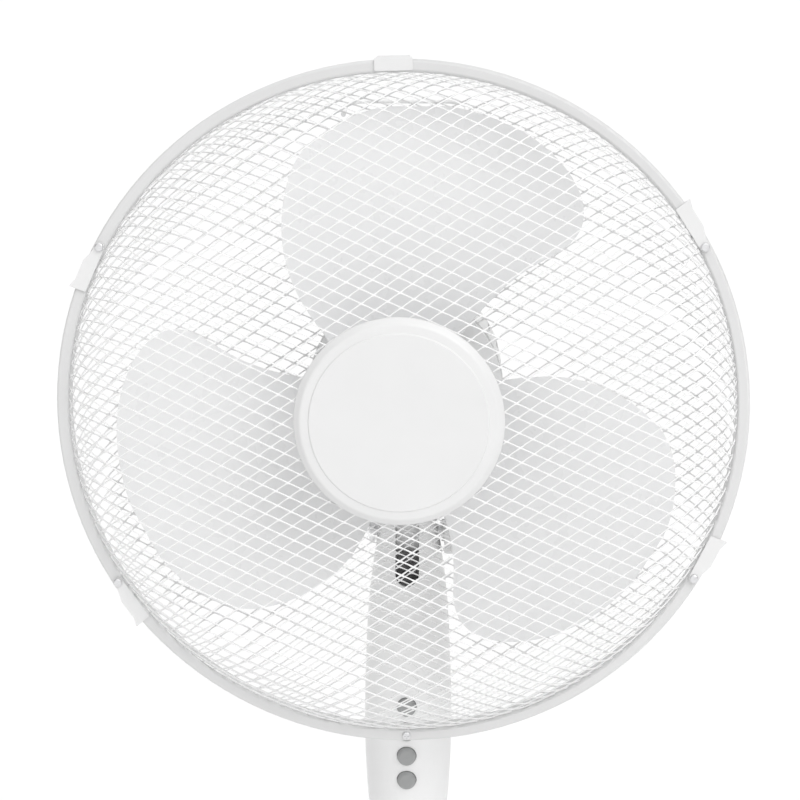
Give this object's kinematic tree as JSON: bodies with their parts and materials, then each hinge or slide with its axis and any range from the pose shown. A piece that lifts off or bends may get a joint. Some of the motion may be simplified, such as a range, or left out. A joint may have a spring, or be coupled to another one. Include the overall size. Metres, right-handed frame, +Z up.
{
  "type": "pedestal fan",
  "caption": "Tall pedestal fan with a diamond-mesh guard, wide lobed blades, push-button column housing, telescopic pole and cross base.",
  "frame": {"origin": "on the floor under the column's axis", "axes": "+Z up along the column, -Y the way the fan blows, +X to the fan's left as seen from behind the guard, right for someone facing it"},
  "size_m": [0.5042, 0.5042, 1.2448],
  "materials": {
    "white_paint": "satin powder coat",
    "white_plastic": "smooth moulded, half gloss",
    "rubber": "matte",
    "zinc": "zinc plated",
    "nylon": "natural nylon",
    "enamelled_tube": "gloss white enamel",
    "cast_alloy": "as cast",
    "dark_plastic": "moulded",
    "grey_plastic": "fine texture",
    "blade_plastic": "smooth moulded",
    "steel": "ground",
    "lamination": "laminated stack",
    "copper_winding": "enamelled wire",
    "sintered_bronze": "oiled",
    "white_wire": "powder coat",
    "white_clip": "painted spring steel"
  },
  "bodies": {
    "base": {"cross_leg_lower": "white_paint", "cross_leg_upper": "white_paint", "leg_end_caps": "white_plastic", "foot_pads": "rubber", "base_socket": "white_plastic", "base_bolts": "zinc", "base_cover": "white_plastic", "outer_pole": "white_paint", "height_collar": "white_plastic", "pole_bush": "nylon"},
    "height_knob": {"height_knob": "white_plastic"},
    "column": {"inner_pole": "enamelled_tube", "slide_bush": "nylon", "tilt_clevis": "cast_alloy", "control_housing_front": "white_plastic", "control_housing_rear": "white_plastic", "housing_screws": "zinc", "cable_gland": "white_plastic", "switch_block": "dark_plastic", "tilt_bolt": "zinc"},
    "pole_screw": {"pole_screw": "white_plastic"},
    "tilt_knob": {"tilt_knob": "white_plastic"},
    "neck": {"neck": "white_plastic", "pivot_shaft": "steel"},
    "link": {"link_arm": "zinc"},
    "head": {"swivel_base": "cast_alloy", "gearbox_housing": "cast_alloy", "run_capacitor": "dark_plastic", "motor_cover_front": "white_plastic", "motor_cover_rear": "white_plastic", "motor_end_brackets": "cast_alloy", "motor_bearings": "sintered_bronze", "motor_stator": "lamination", "motor_windings": "copper_winding", "guard_lock_nut": "white_plastic", "rear_guard_plate": "white_wire", "rear_guard_ring": "white_plastic", "rear_guard_mesh": "white_wire", "carry_handle": "white_wire", "front_guard_ring": "white_plastic", "front_guard_mesh": "white_wire", "centre_cap": "white_plastic", "cap_backing_plate": "white_wire", "top_hook": "white_clip", "guard_fasteners": "zinc"},
    "rotor": {"motor_rotor": "lamination", "motor_shaft": "steel", "fan_blade": "blade_plastic", "blade_nut": "blade_plastic"},
    "gear": {"gear_shaft": "nylon"},
    "crank": {"crank_disc": "dark_plastic"},
    "oscillation_knob": {"oscillation_knob": "white_plastic"},
    "button_off": {"button_off": "grey_plastic"},
    "button_low": {"button_low": "grey_plastic"},
    "button_medium": {"button_medium": "grey_plastic"},
    "button_high": {"button_high": "grey_plastic"},
    "guard_clip_upper_right": {"guard_clip_upper_right": "white_clip"},
    "guard_clip_upper_left": {"guard_clip_upper_left": "white_clip"},
    "guard_clip_lower_left": {"guard_clip_lower_left": "white_clip"},
    "guard_clip_lower_right": {"guard_clip_lower_right": "white_clip"}
  },
  "joints": [
    {"name": "height_slide", "type": "slide", "parent": "base", "child": "column", "axis": [0, 0, 1], "range_m": [-0.19, 0]},
    {"name": "height_knob_turn", "type": "hinge", "parent": "base", "child": "height_knob", "pos_m": [0.03, 0, 0.454], "axis": [1, 0, 0], "range_deg": [-120, 120]},
    {"name": "pole_screw_turn", "type": "hinge", "parent": "column", "child": "pole_screw", "pos_m": [0, 0.033, 0.712], "axis": [0, 1, 0], "range_deg": [-120, 120]},
    {"name": "tilt_knob_turn", "type": "hinge", "parent": "column", "child": "tilt_knob", "pos_m": [0.0257, 0, 0.908], "axis": [1, 0, 0], "range_deg": [-120, 120]},
    {"name": "tilt", "type": "hinge", "parent": "column", "child": "neck", "pos_m": [0, 0, 0.908], "axis": [-1, 0, 0], "range_deg": [-12, 28]},
    {"name": "oscillation", "type": "hinge", "parent": "neck", "child": "head", "pos_m": [0, 0, 0.95], "axis": [0, 0, 1], "range_deg": [-40, 40]},
    {"name": "link_swing", "type": "hinge", "parent": "neck", "child": "link", "pos_m": [0.014, 0, 0.9728], "axis": [0, 0, 1], "range_deg": [-36, 36]},
    {"name": "crank_turn", "type": "hinge", "parent": "head", "child": "crank", "pos_m": [-0.006, 0.04, 0.982], "axis": [0, 0, 1], "range_deg": [-91, 91]},
    {"name": "fan_spin", "type": "hinge", "parent": "head", "child": "rotor", "pos_m": [0, -0.125, 1.02], "axis": [0, 1, 0], "continuous": true},
    {"name": "gear_turn", "type": "hinge", "parent": "head", "child": "gear", "pos_m": [0.018, 0.04, 1.02], "axis": [0, 0, 1], "continuous": true},
    {"name": "oscillation_knob_pull", "type": "slide", "parent": "head", "child": "oscillation_knob", "axis": [0, 0, 1], "range_m": [0, 0.006]},
    {"name": "button_off_press", "type": "slide", "parent": "column", "child": "button_off", "axis": [0, 1, 0], "range_m": [0, 0.004], "stiffness_N_per_m": 350},
    {"name": "button_low_press", "type": "slide", "parent": "column", "child": "button_low", "axis": [0, 1, 0], "range_m": [0, 0.004], "stiffness_N_per_m": 350},
    {"name": "button_medium_press", "type": "slide", "parent": "column", "child": "button_medium", "axis": [0, 1, 0], "range_m": [0, 0.004], "stiffness_N_per_m": 350},
    {"name": "button_high_press", "type": "slide", "parent": "column", "child": "button_high", "axis": [0, 1, 0], "range_m": [0, 0.004], "stiffness_N_per_m": 350},
    {"name": "guard_clip_upper_right_swing", "type": "hinge", "parent": "head", "child": "guard_clip_upper_right", "pos_m": [0.1911, -0.1335, 1.12593], "axis": [0, 1, 0], "range_deg": [0, 70]},
    {"name": "guard_clip_upper_left_swing", "type": "hinge", "parent": "head", "child": "guard_clip_upper_left", "pos_m": [-0.19202, -0.1335, 1.12426], "axis": [0, 1, 0], "range_deg": [0, 70]},
    {"name": "guard_clip_lower_left_swing", "type": "hinge", "parent": "head", "child": "guard_clip_lower_left", "pos_m": [-0.1853, -0.1335, 0.90421], "axis": [0, 1, 0], "range_deg": [0, 70]},
    {"name": "guard_clip_lower_right_swing", "type": "hinge", "parent": "head", "child": "guard_clip_lower_right", "pos_m": [0.18923, -0.1335, 0.91075], "axis": [0, 1, 0], "range_deg": [0, 70]}
  ],
  "couplings": [
    {"joint": "gear_turn", "follows": "fan_spin", "ratio": 0.033333},
    {"joint": "crank_turn", "follows": "oscillation", "ratio": 2.25},
    {"joint": "link_swing", "follows": "oscillation", "ratio": 0.88}
  ]
}
